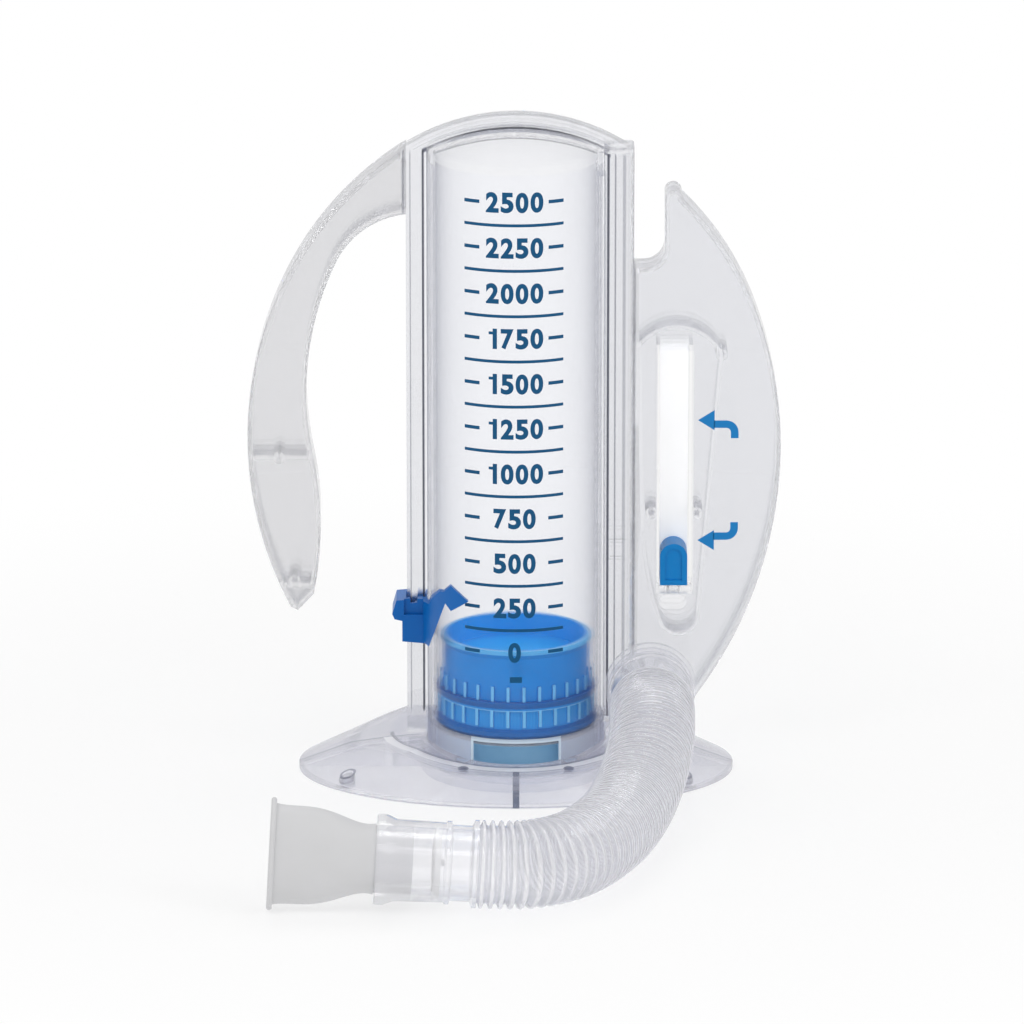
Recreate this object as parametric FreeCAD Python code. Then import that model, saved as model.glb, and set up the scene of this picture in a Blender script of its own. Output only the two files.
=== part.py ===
import FreeCAD, Part
import math
import os

# A hand-held breathing exerciser (volumetric incentive spirometer): a clear cylinder with a
# piston, a hooked handle, a wing with a flow float, a domed base, and a corrugated hose.
# Millimetres. X runs to the right, Y to the back, Z up. The cylinder's axis is the Z axis and
# the base stands on z = 0. The clear body is moulded as halves that meet on the plane y = 0.

# Base: a boat-shaped dome, open below
BASE_LENGTH = 148.0
BASE_DEPTH = 100.0
BASE_HEIGHT = 12.4
BASE_WALL = 2.0
BASE_END_REACH = 76.0
BASE_FRONT_LIP = 1.8
BASE_RIDGE_LENGTH = 86.0
BASE_RIDGE_DEPTH = 83.6
BASE_RIDGE_Y = 8.0
BASE_REAR_LIP = 3.2
SOCKET_WALL = 1.8
SOCKET_GAP = 0.3
LEDGE_TOP = 7.0
LEDGE_T = 1.8
LEDGE_R = 22.0
BASE_RIB_T = 2.0
BASE_POST_R = 2.6
BASE_POST_X = 57.0
BASE_POST_Y = 24.0

# Barrel and its flat frame
BODY_HEIGHT = 228.0
ARCH_R = 70.0
ROOF_DROP = 4.8
ROOF_R = 74.0
ROOF_EDGE_R = 2.0
BARREL_R = 30.2
BARREL_WALL = 2.3
RAIL_LEFT = 37.0
RAIL_RIGHT = 39.6
FLANGE_T = 2.2
LIP_W = 2.4
LIP_T = 3.8
FRAME_GAP = 0.3

# Air duct in the right rail, with its stiffening frame
DUCT_DEPTH = 8.0
DUCT_WALL = 1.6
DUCT_FOOT = 18.0
DUCT_HEAD = 11.0
DUCT_CORNER = 2.4
DUCT_PORT_H = 8.0
DUCT_PORT_W = 9.0
DUCT_FRAME_Z = 79.0
DUCT_FRAME_H = 7.0
DUCT_FRAME_T = 1.0

# Air inlet below the piston
INLET_W = 28.8
INLET_H = 8.7
INLET_Z = 12.4
SNAP_X = 17.8
SNAP_W = 5.0
SNAP_H = 2.0
SNAP_OUT = 1.5

# Floor of the barrel and the filter under it
FLOOR_HEIGHT = 9.9
FLOOR_T = 1.9
FLOOR_WALL = 1.6
FLOOR_FIT = 0.1
AIR_HOLE_R = 1.6
AIR_HOLE_RING = 17.0
AIR_HOLES = 12
FILTER_T = 7.4

# Piston: seal, ribbed skirt and ribbed cup, stacked
PISTON_REST_GAP = 0.3
SEAL_GAP = 0.3
SEAL_H = 3.2
SEAL_W = 3.6
SKIRT_H = 9.5
SKIRT_R = 25.9
SKIRT_WALL = 1.8
SKIRT_FLANGE_H = 1.1
SKIRT_COLLAR_H = 1.9
CUP_H = 17.7
CUP_R = 25.1
CUP_WALL = 1.7
CUP_RECESS = 7.6
CUP_RIM_H = 1.4
CUP_RIM_OUT = 0.6
RIB_OUT = 0.8
RIB_W = 1.0
RIB_H = 5.2
PISTON_RIBS = 30

# Handle, a hollow hook
HANDLE_DEPTH = 9.0
HANDLE_WALL = 1.8
HANDLE_EDGE_R = 2.4
HANDLE_ROOT_H = 22.6
HANDLE_TOP_HEADING = 212.0
HANDLE_LOW_HEADING = 186.4
HANDLE_OUTER = ((110.0, 29.0), (125.0, 26.0), (127.0, 30.4))
HANDLE_INNER = ((29.6, 58.4), (107.0, 36.7), (121.0, -23.0))
HANDLE_TIP = (2.4, -1.2)
HANDLE_RIBS = (84.2, 128.8)
HANDLE_PINS = ((43.0, 84.2), (38.0, 127.4))

# Wing, a hollow fin that holds the flow float
WING_DEPTH = 9.0
WING_WALL = 1.8
WING_EDGE_R = 2.4
WING_SHOULDER = 176.4
WING_HEADING = -44.0
WING_BROW = (102.0, -24.6)
WING_TURNS = (-22.2, -42.3)
WING_FOOT_X = 49.35
NOTCH_R = 7.0
FIN_X = 49.9
FIN_R = 2.9
FIN_RISE = 26.8
PIN_R = 2.1
PIN_BORE_R = 1.0

# Float chamber in the wing, its widths measured from the float's middle
CHAMBER_WALL = 1.3
CHAMBER_LEFT = 12.6
CHAMBER_RIGHT = 16.4
CHAMBER_KNEE = 11.2
CHAMBER_KNEE_RISE = 18.2
CHAMBER_FOOT_LEFT = 5.4
CHAMBER_FOOT_RIGHT = 8.7
CHAMBER_FOOT_DROP = 12.2
CHAMBER_BOWL = 5.4
CHAMBER_CROWN = 6.6
CHAMBER_SLOPE = 3.6
CHAMBER_PIN_RISE = 25.5
CHAMBER_PINS = 7.6
FLOAT_X = 53.4
FLOAT_W = 9.2
FLOAT_H = 14.5
FLOAT_Z = 65.8
FLOAT_FRONT = 6.8
FLOAT_BACK = 3.6
FLOAT_WALL = 1.1
FLOAT_GAP = 0.35
FLOAT_TRAVEL = 66.0
GUIDE_T = 1.2
GUIDE_SPARE = 3.7
SEAT_T = 2.4
STRIP_T = 0.8
STRIP_DROP = 2.6
BLEED_R = 2.8
BLEED_SPAN = 3.9
BLEED_DROP = 10.0
STRIP_PIN_R = 0.8
STRIP_PIN_OFFSET = 1.9

# Hose port: a collar with a 22 mm spigot
PORT_X = 45.7
PORT_Z = 31.0
COLLAR_R = 15.4
COLLAR_T = 3.4
SPIGOT_R = 11.0
SPIGOT_WALL = 1.9
SPIGOT_LENGTH = 18.0
PORT_HOLE_R = 7.6
PASSAGE_LOW = 26.0
PASSAGE_HIGH = 42.0

# Hose, cuffs and mouthpiece
CUFF_FIT = 0.1
CUFF_R = 14.1
CUFF_LENGTH = 21.5
HOSE_R = 14.45
HOSE_WALL = 1.2
MOUTH_CUFF_LENGTH = 33.0
MOUTH_CUFF_R = 13.1
MOUTH_CUFF_NECK_R = 12.3
MOUTH_CUFF_RIM_R = 14.7
MOUTH_CUFF_BORE_R = 11.0
SHANK_DEPTH = 12.0
MOUTHPIECE_LENGTH = 34.4
MOUTHPIECE_WALL = 1.6
LIP_HALF_WIDTH = 18.8
LIP_HALF_DEPTH = 11.0
LIP_RIM_T = 1.8
LIP_BEVEL = 0.5
LIP_OUT = 0.8
SHOULDER_OUT = 0.3
SHOULDER_GAP = 0.3
VALVE_AT = 12.0
VALVE_SEAT_T = 2.0
VALVE_HUB_R = 2.6
VALVE_SPOKE_W = 1.4
FLAP_T = 0.5
FLAP_R = 9.6
STEM_R = 0.9
VALVE_GAP = 0.1

# Goal slider on the left rail
SLIDER_Z = 53.0
SLIDER_DEPTH = 6.8
SLIDER_FIT = 0.3
SLIDER_STEP = 1.5
POINTER_T = 1.8

# What follows from the sizes above
FRAME_FOOT = BASE_HEIGHT + FRAME_GAP
FIN_TOP = WING_SHOULDER + FIN_RISE
GUIDE_TOP = FLOAT_Z + FLOAT_H + FLOAT_TRAVEL + GUIDE_SPARE
STRIP_TOP = GUIDE_TOP - STRIP_DROP
BLEED_Z = FLOAT_Z - BLEED_DROP
BORE_R = BARREL_R - BARREL_WALL
ROOF_TOP = BODY_HEIGHT - ROOF_DROP
DUCT_TOP = BODY_HEIGHT - DUCT_HEAD
FLOOR_TOP = LEDGE_TOP + FLOOR_HEIGHT
SEAL_FOOT = FLOOR_TOP + PISTON_REST_GAP
SKIRT_FOOT = SEAL_FOOT + SEAL_H
CUP_FOOT = SKIRT_FOOT + SKIRT_H
PORT_FACE = -WING_DEPTH
CUFF_START = PORT_FACE - COLLAR_T
HOSE_START = CUFF_START - CUFF_LENGTH

# The hose's route, chosen by hand: out of the port, down to the table and round to the left
HOSE_ROUTE = (
    (PORT_X, HOSE_START, PORT_Z),
    (PORT_X, -44.5, PORT_Z),
    (45.5, -57.0, 28.4),
    (44.0, -70.0, 23.7),
    (41.2, -84.0, 18.9),
    (37.4, -99.0, 15.6),
    (32.6, -117.0, 14.6),
    (25.9, -134.7, 14.6),
    (18.5, -147.8, 14.5),
    (9.8, -155.3, 14.5),
    (-1.0, -159.298, 14.496),
    (-12.5, -159.4, 15.15),
)
MOUTH_END = (-80.2, -160.0, 19.0)


def vec(x, y, z):
    return FreeCAD.Vector(x, y, z)


def block(x_span, y_span, z_span):
    x_low, x_high = sorted(x_span)
    y_low, y_high = sorted(y_span)
    z_low, z_high = sorted(z_span)
    return Part.makeBox(x_high - x_low, y_high - y_low, z_high - z_low, vec(x_low, y_low, z_low))


def upright(radius, z_low, z_high, x=0.0, y=0.0):
    return Part.makeCylinder(radius, z_high - z_low, vec(x, y, z_low))


def crosswise(radius, y_low, y_high, x, z):
    return Part.makeCylinder(radius, y_high - y_low, vec(x, y_low, z), vec(0, 1, 0))


def turned(profile):
    """A solid turned about the Z axis from (radius, height) points."""
    points = [vec(radius, 0, height) for radius, height in profile]
    face = Part.Face(Part.makePolygon(points + points[:1]))
    return face.revolve(vec(0, 0, 0), vec(0, 0, 1), 360)


def outline(*runs):
    """A closed wire in the plane y = 0. A run of 2 points is a line, of 3 an arc; edges stay as they are."""
    edges = []
    for run in runs:
        if isinstance(run[0], Part.Edge):
            edges.extend(run)
            continue
        points = [vec(x, 0, z) for x, z in run]
        curve = Part.LineSegment(*points) if len(points) == 2 else Part.Arc(*points)
        edges.append(curve.toShape())
    return Part.Wire(edges)


def walk(start, heading, arcs):
    """Arcs that leave each other without a corner, from (radius, turn) pairs; a left turn is positive."""
    x, z = start
    angle = math.radians(heading)
    edges = []
    for radius, turn in arcs:
        side = math.copysign(radius, turn)
        centre_x = x - side * math.sin(angle)
        centre_z = z + side * math.cos(angle)
        points = []
        for share in (0.0, 0.5, 1.0):
            now = angle + share * math.radians(turn)
            points.append(vec(centre_x + side * math.sin(now), 0, centre_z - side * math.cos(now)))
        edges.append(Part.Arc(*points).toShape())
        angle += math.radians(turn)
        x, z = points[-1].x, points[-1].z
    return edges, (x, z)


def slab(wire, y_low, y_high):
    """The wire's area, extruded between two depths."""
    face = Part.Face(wire)
    face.translate(vec(0, y_low, 0))
    return face.extrude(vec(0, y_high - y_low, 0))


def rounded_slab(wire, depth, radius):
    """The wire's area, extruded from y = 0 towards the front, its front edges rounded."""
    solid = slab(wire, -depth, 0)
    rim = [edge for edge in solid.Edges if edge.BoundBox.YMax < 0.01 - depth]
    return solid.makeFillet(radius, rim)


def tray(wire, depth, wall, radius):
    """The front half of a hollow moulding, open at the plane y = 0."""
    hollow = slab(wire.makeOffset2D(-wall), wall - depth, 0)
    return rounded_slab(wire, depth, radius).cut(hollow)


def mirrored(solid):
    return solid.mirror(vec(0, 0, 0), vec(0, 1, 0))


def pin(x, z, depth):
    """A hollow weld pin that reaches from the front wall to the mating plane."""
    post = crosswise(PIN_R, -depth, 0, x, z)
    return post.cut(crosswise(PIN_BORE_R, -depth + 1.0, 0, x, z))


def ring_of(tool, count):
    copies = []
    for index in range(count):
        copy = tool.copy()
        copy.rotate(vec(0, 0, 0), vec(0, 0, 1), 360.0 * index / count)
        copies.append(copy)
    return copies


def along(solid, start, direction):
    """Places a solid that was made on the Z axis so that it runs from start in a direction."""
    placed = solid.copy()
    placed.Placement = FreeCAD.Placement(start, FreeCAD.Rotation(vec(0, 0, 1), direction))
    return placed


def arch_height(x, top, radius):
    return top - radius + math.sqrt(radius ** 2 - x ** 2)


def arched(left, right, foot, top, radius):
    """An outline with upright sides and an arched top."""
    z_left = arch_height(left, top, radius)
    z_right = arch_height(right, top, radius)
    return outline(
        ((left, foot), (left, z_left)),
        ((left, z_left), (0, top), (right, z_right)),
        ((right, z_right), (right, foot)),
        ((right, foot), (left, foot)),
    )


def closing_arcs(start, heading, turns, end):
    """The two arcs, as (radius, turn) pairs, that carry a curve on to its end, from their turns."""
    reach = []
    for turn in turns:
        side = math.copysign(1.0, turn)
        before, after = math.radians(heading), math.radians(heading + turn)
        reach.append((side * (math.sin(after) - math.sin(before)), side * (math.cos(before) - math.cos(after))))
        heading += turn
    (first_x, first_z), (second_x, second_z) = reach
    along_x, along_z = end[0] - start[0], end[1] - start[1]
    spread = first_x * second_z - second_x * first_z
    first_r = (along_x * second_z - along_z * second_x) / spread
    second_r = (first_x * along_z - first_z * along_x) / spread
    return (first_r, turns[0]), (second_r, turns[1])


def frame_slab(inset, depth):
    """The flat frame round the barrel, from the mating plane to a depth in front of it."""
    wire = arched(inset - RAIL_LEFT, RAIL_RIGHT - inset, FRAME_FOOT, BODY_HEIGHT - inset, ARCH_R - inset)
    return slab(wire, -depth, 0)


def barrel_column(radius, foot, inset):
    """An upright column closed by a shallow round cap, with a soft edge between them."""
    top = ROOF_TOP - inset
    cap_r = ROOF_R - inset
    shoulder = arch_height(radius, top, cap_r)
    section = outline(
        ((0, foot), (radius, foot)),
        ((radius, foot), (radius, shoulder)),
        ((radius, shoulder), (radius / 2, arch_height(radius / 2, top, cap_r)), (0, top)),
        ((0, top), (0, foot)),
    )
    column = Part.Face(section).revolve(vec(0, 0, 0), vec(0, 0, 1), 360)
    edge = [edge for edge in column.Edges
            if edge.BoundBox.ZLength < 0.01 and abs(edge.BoundBox.ZMin - shoulder) < 0.01]
    return column.makeFillet(ROOF_EDGE_R - inset / 2, edge)


def duct_half():
    """The box that carries air up the right rail, with the small frame on its front."""
    box = block((BARREL_R - 2, RAIL_RIGHT), (-DUCT_DEPTH, 0), (DUCT_FOOT, DUCT_TOP))
    corner = [edge for edge in box.Edges
              if edge.BoundBox.ZLength > 1 and edge.BoundBox.XMin > RAIL_RIGHT - 0.01
              and edge.BoundBox.YMax < 0.01 - DUCT_DEPTH]
    box = box.makeFillet(DUCT_CORNER, corner)
    half = DUCT_FRAME_H / 2
    span = (BARREL_R + 0.6, RAIL_RIGHT - DUCT_CORNER)
    depth = (-DUCT_DEPTH - DUCT_FRAME_T, -DUCT_DEPTH + DUCT_FRAME_T)
    frame = block(span, depth, (DUCT_FRAME_Z - half, DUCT_FRAME_Z + half))
    inner = (span[0] + DUCT_FRAME_T, span[1] - DUCT_FRAME_T)
    window = (DUCT_FRAME_Z - half + DUCT_FRAME_T, DUCT_FRAME_Z + half - DUCT_FRAME_T)
    return box.fuse(frame.cut(block(inner, depth, window)))


def duct_void():
    void = block(
        (BARREL_R - 2, RAIL_RIGHT - DUCT_WALL),
        (-DUCT_DEPTH + DUCT_WALL, 0),
        (DUCT_FOOT + DUCT_WALL, DUCT_TOP - DUCT_WALL),
    )
    void = void.cut(upright(BARREL_R, 0, BODY_HEIGHT))
    top = DUCT_TOP - DUCT_WALL
    port = block((BORE_R - 4, BARREL_R + 2), (-DUCT_PORT_W / 2, 0), (top - DUCT_PORT_H, top))
    passage = block((RAIL_RIGHT - 3, RAIL_RIGHT + 1), (-DUCT_DEPTH + 2 * DUCT_WALL, 0),
                    (PASSAGE_LOW, PASSAGE_HIGH))
    return void.fuse([port, passage])


def snap_tabs():
    tabs = []
    turn = math.degrees(math.asin(SNAP_X / BARREL_R))
    for angle in (-turn, turn):
        z_low = LEDGE_TOP + 1
        tab = block((-SNAP_W / 2, SNAP_W / 2), (-BARREL_R - SNAP_OUT, -BARREL_R + 1), (z_low, z_low + SNAP_H))
        tab.rotate(vec(0, 0, 0), vec(0, 0, 1), angle)
        tabs.append(tab)
    return tabs


def body_half():
    """The front half of the barrel with its frame, lip, duct and snap tabs."""
    lip = frame_slab(0, LIP_T).cut(frame_slab(LIP_W, LIP_T))
    solid = barrel_column(BARREL_R, LEDGE_TOP, 0)
    solid = solid.fuse([frame_slab(0, FLANGE_T), lip, duct_half()] + snap_tabs())
    solid = solid.cut([barrel_column(BORE_R, LEDGE_TOP - 1, BARREL_WALL), duct_void()])
    front = block((-BODY_HEIGHT, BODY_HEIGHT), (-BODY_HEIGHT, 0), (0, 2 * BODY_HEIGHT))
    return solid.common(front).removeSplitter()


def make_front_shell():
    low = INLET_Z - INLET_H / 2
    window = block((-INLET_W / 2, INLET_W / 2), (-BARREL_R - 1, 0), (low, low + INLET_H))
    return body_half().cut(window)


def make_rear_shell():
    return mirrored(body_half())


def handle_root():
    """Where the hook's upper and lower curves leave the left rail."""
    top = arch_height(-RAIL_LEFT, BODY_HEIGHT, ARCH_R)
    return (-RAIL_LEFT, top), (-RAIL_LEFT, top - HANDLE_ROOT_H)


def handle_wire():
    """The hook: its outer and inner curves both set out from the left rail."""
    root_top, root_low = handle_root()
    outer, outer_end = walk(root_top, HANDLE_TOP_HEADING, HANDLE_OUTER)
    inner, inner_end = walk(root_low, HANDLE_LOW_HEADING, HANDLE_INNER)
    tip = (outer_end[0] + HANDLE_TIP[0], outer_end[1] + HANDLE_TIP[1])
    return outline(outer, (outer_end, tip), (tip, inner_end), inner[::-1], (root_low, root_top))


def make_handle_front():
    """The hook's front half, with cross ribs and weld pins at their drops below the root."""
    wire = handle_wire()
    root_x, root_z = handle_root()[1]
    solid = tray(wire, HANDLE_DEPTH, HANDLE_WALL, HANDLE_EDGE_R)
    half = HANDLE_WALL / 2
    filled = slab(wire.makeOffset2D(-half), half - HANDLE_DEPTH, 0)
    ribs = [block((-BODY_HEIGHT, root_x), (-HANDLE_DEPTH, 0), (root_z - drop - half, root_z - drop + half))
            .common(filled) for drop in HANDLE_RIBS]
    pins = [pin(root_x - out, root_z - drop, HANDLE_DEPTH - HANDLE_WALL) for out, drop in HANDLE_PINS]
    return solid.fuse(ribs + pins).removeSplitter()


def make_handle_rear():
    return mirrored(make_handle_front())


def wing_wire():
    """The fin: an upright inner edge with a notch, a round tip and one long outer curve."""
    foot = (RAIL_RIGHT, FRAME_FOOT)
    shoulder = (RAIL_RIGHT, WING_SHOULDER)
    notch = (FIN_X - NOTCH_R, WING_SHOULDER)
    throat = (FIN_X, WING_SHOULDER + NOTCH_R)
    sag = NOTCH_R * (1 - math.sqrt(0.5))
    notch_mid = (FIN_X - sag, WING_SHOULDER + sag)
    tip_left = (FIN_X, FIN_TOP - FIN_R)
    tip_right = (FIN_X + 2 * FIN_R, FIN_TOP - FIN_R)
    brow, brow_end = walk(tip_right, WING_HEADING, [WING_BROW])
    heading = WING_HEADING + WING_BROW[1]
    corner = (WING_FOOT_X, FRAME_FOOT)
    flank, corner = walk(brow_end, heading, closing_arcs(brow_end, heading, WING_TURNS, corner))
    return outline(
        (foot, shoulder), (shoulder, notch), (notch, notch_mid, throat), (throat, tip_left),
        (tip_left, (FIN_X + FIN_R, FIN_TOP), tip_right), brow, flank, (corner, foot),
    )


def chamber_ring():
    """The wall round the float's channel: wide above, drawn in below, with a bowl for a foot."""
    top_left = (FLOAT_X - CHAMBER_LEFT, GUIDE_TOP)
    top_right = (FLOAT_X + CHAMBER_RIGHT, GUIDE_TOP - CHAMBER_SLOPE)
    crown = (FLOAT_X, GUIDE_TOP + CHAMBER_CROWN)
    knee = (FLOAT_X - CHAMBER_KNEE, FLOAT_Z + CHAMBER_KNEE_RISE)
    low_left = (FLOAT_X - CHAMBER_FOOT_LEFT, FLOAT_Z - CHAMBER_FOOT_DROP)
    low_right = (FLOAT_X + CHAMBER_FOOT_RIGHT, FLOAT_Z - CHAMBER_FOOT_DROP)
    bowl = ((low_left[0] + low_right[0]) / 2, low_left[1] - CHAMBER_BOWL)
    bend = (0.56 * knee[0] + 0.44 * low_left[0] - 0.8, (knee[1] + low_left[1]) / 2)
    wire = outline((low_left, bend, knee), (knee, top_left), (top_left, crown, top_right),
                   (top_right, low_right), (low_right, bowl, low_left))
    depth = WING_DEPTH - WING_WALL
    return slab(wire, -depth, 0).cut(slab(wire.makeOffset2D(-CHAMBER_WALL), -depth, 0))


def wing_pins():
    """Weld pins: one at the chamber's upper corner and one on either side of the float's channel."""
    places = [(FLOAT_X + CHAMBER_RIGHT - CHAMBER_WALL / 2, GUIDE_TOP - CHAMBER_SLOPE)]
    places += [(FLOAT_X + side * CHAMBER_PINS, FLOAT_Z + CHAMBER_PIN_RISE) for side in (-1, 1)]
    return [pin(x, z, WING_DEPTH - WING_WALL) for x, z in places]


def float_guides():
    """The front half of the float's channel: two guide walls that stand on a seat with an air hole."""
    depth = WING_DEPTH - WING_WALL
    half = FLOAT_W / 2 + FLOAT_GAP
    seat_top = FLOAT_Z - FLOAT_GAP
    walls = [block((FLOAT_X + side * half, FLOAT_X + side * (half + GUIDE_T)), (-depth, 0),
                   (seat_top - SEAT_T, GUIDE_TOP)) for side in (-1, 1)]
    seat = block((FLOAT_X - half, FLOAT_X + half), (-depth, 0), (seat_top - SEAT_T, seat_top))
    return walls + [seat.cut(upright(FLOAT_W / 4, 0, GUIDE_TOP, FLOAT_X))]


def wing_half():
    passage = block((RAIL_RIGHT - 1, RAIL_RIGHT + 3), (-DUCT_DEPTH + 2 * DUCT_WALL, 0),
                    (PASSAGE_LOW, PASSAGE_HIGH))
    solid = tray(wing_wire(), WING_DEPTH, WING_WALL, WING_EDGE_R).cut(passage)
    return solid.fuse([chamber_ring()] + float_guides() + wing_pins())


def make_wing_front():
    hole = crosswise(PORT_HOLE_R, -WING_DEPTH - 1, -WING_DEPTH + WING_WALL + 1, PORT_X, PORT_Z)
    return wing_half().cut(hole).removeSplitter()


def make_wing_rear():
    """The rear half, with the ledge behind the white strip and a slot that lets air bleed in."""
    inner = WING_DEPTH - WING_WALL
    half = FLOAT_W / 2 + FLOAT_GAP
    strip_back = FLOAT_BACK + FLOAT_GAP + STRIP_T
    ledge = block((FLOAT_X - half, FLOAT_X + half), (strip_back, inner), (FLOAT_Z - FLOAT_GAP, GUIDE_TOP))
    pins = [crosswise(STRIP_PIN_R, strip_back - STRIP_T, strip_back, FLOAT_X + side * STRIP_PIN_OFFSET,
                      (STRIP_TOP + GUIDE_TOP) / 2) for side in (-1, 1)]
    low, high = FLOAT_X - BLEED_SPAN / 2, FLOAT_X + BLEED_SPAN / 2
    bleed = block((low, high), (0, WING_DEPTH + 1), (BLEED_Z - BLEED_R, BLEED_Z + BLEED_R))
    bleed = bleed.fuse([crosswise(BLEED_R, 0, WING_DEPTH + 1, x, BLEED_Z) for x in (low, high)])
    return mirrored(wing_half()).fuse([ledge] + pins).cut(bleed).removeSplitter()


def make_indicator_strip():
    front = FLOAT_BACK + FLOAT_GAP
    half = FLOAT_W / 2 + FLOAT_GAP / 2
    return block((FLOAT_X - half, FLOAT_X + half), (front, front + STRIP_T), (FLOAT_Z - FLOAT_GAP, STRIP_TOP))


def float_wire(inset):
    half = FLOAT_W / 2 - inset
    foot = FLOAT_Z + inset
    shoulder = FLOAT_Z + FLOAT_H - FLOAT_W / 2
    return outline(
        ((FLOAT_X - half, foot), (FLOAT_X - half, shoulder)),
        ((FLOAT_X - half, shoulder), (FLOAT_X, shoulder + half), (FLOAT_X + half, shoulder)),
        ((FLOAT_X + half, shoulder), (FLOAT_X + half, foot)),
        ((FLOAT_X + half, foot), (FLOAT_X - half, foot)),
    )


def make_flow_float():
    """A hollow bullet: arched on top, flat and open below, with an arched panel on its front."""
    solid = slab(float_wire(0), -FLOAT_FRONT, FLOAT_BACK)
    hollow = slab(float_wire(FLOAT_WALL), -FLOAT_FRONT + 2 * FLOAT_WALL, FLOAT_BACK - FLOAT_WALL)
    mouth = block((FLOAT_X - FLOAT_W / 2 + FLOAT_WALL, FLOAT_X + FLOAT_W / 2 - FLOAT_WALL),
                  (-FLOAT_FRONT + 2 * FLOAT_WALL, FLOAT_BACK - FLOAT_WALL),
                  (FLOAT_Z - 1, FLOAT_Z + 2 * FLOAT_WALL))
    panel = slab(float_wire(1.6 * FLOAT_WALL), -FLOAT_FRONT, -FLOAT_FRONT + FLOAT_WALL / 2)
    return solid.cut([hollow, mouth, panel])


def dome(inset):
    """The base's outer form, drawn in by an inset: an oval plan, an arched length and a curved depth."""
    half_length = BASE_LENGTH / 2 - inset
    half_depth = BASE_DEPTH / 2 - inset
    top = BASE_HEIGHT - inset
    reach = BASE_END_REACH - inset
    plan = Part.Face(Part.Wire(Part.Ellipse(vec(0, 0, 0), half_length, half_depth).toShape()))
    solid = plan.extrude(vec(0, 0, BASE_HEIGHT + 1))
    arch = Part.Face(Part.Wire([
        Part.Arc(Part.Ellipse(vec(reach, 0, 0), vec(0, 0, top), vec(0, 0, 0)), 0, math.pi).toShape(),
        Part.LineSegment(vec(-reach, 0, 0), vec(reach, 0, 0)).toShape(),
    ]))
    arch.translate(vec(0, -BASE_DEPTH, 0))
    solid = solid.common(arch.extrude(vec(0, 2 * BASE_DEPTH, 0)))
    back = Part.BSplineCurve()
    rear_lip = BASE_REAR_LIP - inset / 2
    back.interpolate([vec(0, y, z) for y, z in (
        (-half_depth, 0.62 * top), (-0.6 * half_depth, 0.78 * top), (-0.3 * half_depth, 0.92 * top), (0, top),
        (0.5 * half_depth, 0.98 * top), (0.84 * half_depth, 0.72 * top), (half_depth, rear_lip))])
    section = Part.Face(Part.Wire([
        back.toShape(),
        Part.LineSegment(vec(0, half_depth, rear_lip), vec(0, half_depth, 0)).toShape(),
        Part.LineSegment(vec(0, half_depth, 0), vec(0, -half_depth, 0)).toShape(),
        Part.LineSegment(vec(0, -half_depth, 0), vec(0, -half_depth, 0.62 * top)).toShape(),
    ]))
    section.translate(vec(-BASE_LENGTH, 0, 0))
    return solid.common(section.extrude(vec(2 * BASE_LENGTH, 0, 0))).common(skirt(1.2 * inset))


def skirt(lowered):
    """The sloping sides: a cone from the oval rim to a smaller oval ridge that lies further back."""
    rim = Part.Ellipse(vec(0, 0, BASE_FRONT_LIP), BASE_LENGTH / 2, BASE_DEPTH / 2).toShape()
    ridge = Part.Ellipse(vec(0, BASE_RIDGE_Y, BASE_HEIGHT + 1), BASE_RIDGE_LENGTH / 2,
                         BASE_RIDGE_DEPTH / 2).toShape()
    cone = Part.makeLoft([Part.Wire(rim), Part.Wire(ridge)], True, True)
    foot = Part.Face(Part.Wire(rim)).extrude(vec(0, 0, -BASE_HEIGHT))
    cone = cone.fuse(foot)
    cone.translate(vec(0, 0, -lowered))
    return cone


def make_base_foot():
    """A thin dome with a round socket for the barrel, a ledge, ribs, posts and snap windows."""
    socket_r = BARREL_R + SOCKET_GAP
    outer = dome(0)
    ribs = [
        block((-BASE_RIB_T / 2, BASE_RIB_T / 2), (-BASE_DEPTH / 2, BASE_DEPTH / 2), (0, BASE_HEIGHT)),
        block((-BASE_LENGTH / 2, BASE_LENGTH / 2), (-BASE_RIB_T / 2, BASE_RIB_T / 2), (0, BASE_HEIGHT)),
        upright(socket_r + SOCKET_WALL, 0, BASE_HEIGHT),
    ]
    posts = [upright(BASE_POST_R, 0, BASE_HEIGHT, x, y)
             for x in (-BASE_POST_X, BASE_POST_X) for y in (-BASE_POST_Y, BASE_POST_Y)]
    inner = ribs[0].fuse(ribs[1:] + posts).common(outer)
    solid = outer.cut(dome(BASE_WALL)).fuse(inner)
    solid = solid.cut([upright(socket_r, LEDGE_TOP, BASE_HEIGHT + 1), upright(socket_r, -1, LEDGE_TOP - LEDGE_T),
                       upright(LEDGE_R, 0, BASE_HEIGHT)])
    turn = math.degrees(math.asin(SNAP_X / BARREL_R))
    for angle in (-turn, turn, 180 - turn, 180 + turn):
        window = block((-SNAP_W / 2 - SNAP_OUT / 2, SNAP_W / 2 + SNAP_OUT / 2),
                       (-socket_r - SOCKET_WALL - SNAP_OUT, -BARREL_R + 1),
                       (LEDGE_TOP + SOCKET_GAP, LEDGE_TOP + 1 + SNAP_H + SOCKET_GAP))
        window.rotate(vec(0, 0, 0), vec(0, 0, 1), angle)
        solid = solid.cut(window)
    return solid.removeSplitter()


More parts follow.
